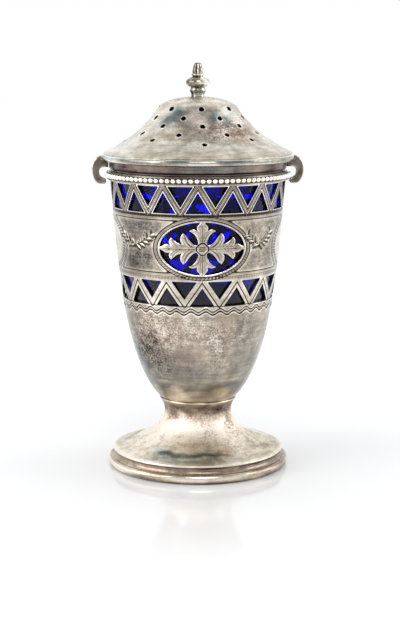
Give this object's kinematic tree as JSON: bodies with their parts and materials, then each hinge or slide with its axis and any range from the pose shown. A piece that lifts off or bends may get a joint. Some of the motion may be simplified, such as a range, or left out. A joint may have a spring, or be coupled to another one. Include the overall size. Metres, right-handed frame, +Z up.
{
  "type": "sugar caster",
  "caption": "Pierced vase-shaped silver caster with a blue glass liner and a domed sifter cover that turns on hooks and lifts off.",
  "frame": {"origin": "under the middle of the foot, on the plane that it stands on", "axes": "+Z up along the axis of the vase, -Y towards the front medallion, +X and -X towards the two hooks"},
  "size_m": [0.0688, 0.0626, 0.132],
  "materials": {
    "silver_shell": "pierced and bright-cut silver, worn and lightly tarnished",
    "silver_bright": "polished silver, kept bright by handling",
    "silver_foot": "fine-scratched silver with warm tarnish",
    "silver_cover": "polished silver gone warm grey with bluish patches",
    "silver_tarnished": "silver with brown-pink tarnish",
    "silver_finial": "cast silver, bright on the high places and dark in the grooves",
    "cobalt_glass": "deep blue transparent glass"
  },
  "bodies": {
    "stand": {"body_shell": "silver_shell", "bead_rim": "silver_bright", "waist_wire": "silver_bright", "foot_spool": "silver_foot", "foot_rim": "silver_foot"},
    "liner": {"glass_liner": "cobalt_glass"},
    "bezel": {"cover_bezel": "silver_tarnished"},
    "cover": {"cover_dome": "silver_cover", "cover_moulding": "silver_cover", "cover_band": "silver_tarnished", "hook_right": "silver_cover", "hook_left": "silver_cover", "finial_peg": "silver_finial", "finial_spool": "silver_finial", "finial_knop": "silver_finial", "finial_bud": "silver_finial"}
  },
  "joints": [
    {"name": "cover_lift", "type": "slide", "parent": "stand", "child": "bezel", "axis": [0, 0, 1], "range_m": [0, 0.14]},
    {"name": "cover_turn", "type": "hinge", "parent": "bezel", "child": "cover", "pos_m": [0, 0, 0.0984], "axis": [0, 0, 1], "continuous": true},
    {"name": "liner_lift", "type": "slide", "parent": "stand", "child": "liner", "axis": [0, 0, 1], "range_m": [0, 0.07]}
  ],
  "couplings": [
    {"joint": "liner_lift", "follows": "cover_lift", "ratio": 0.5}
  ]
}
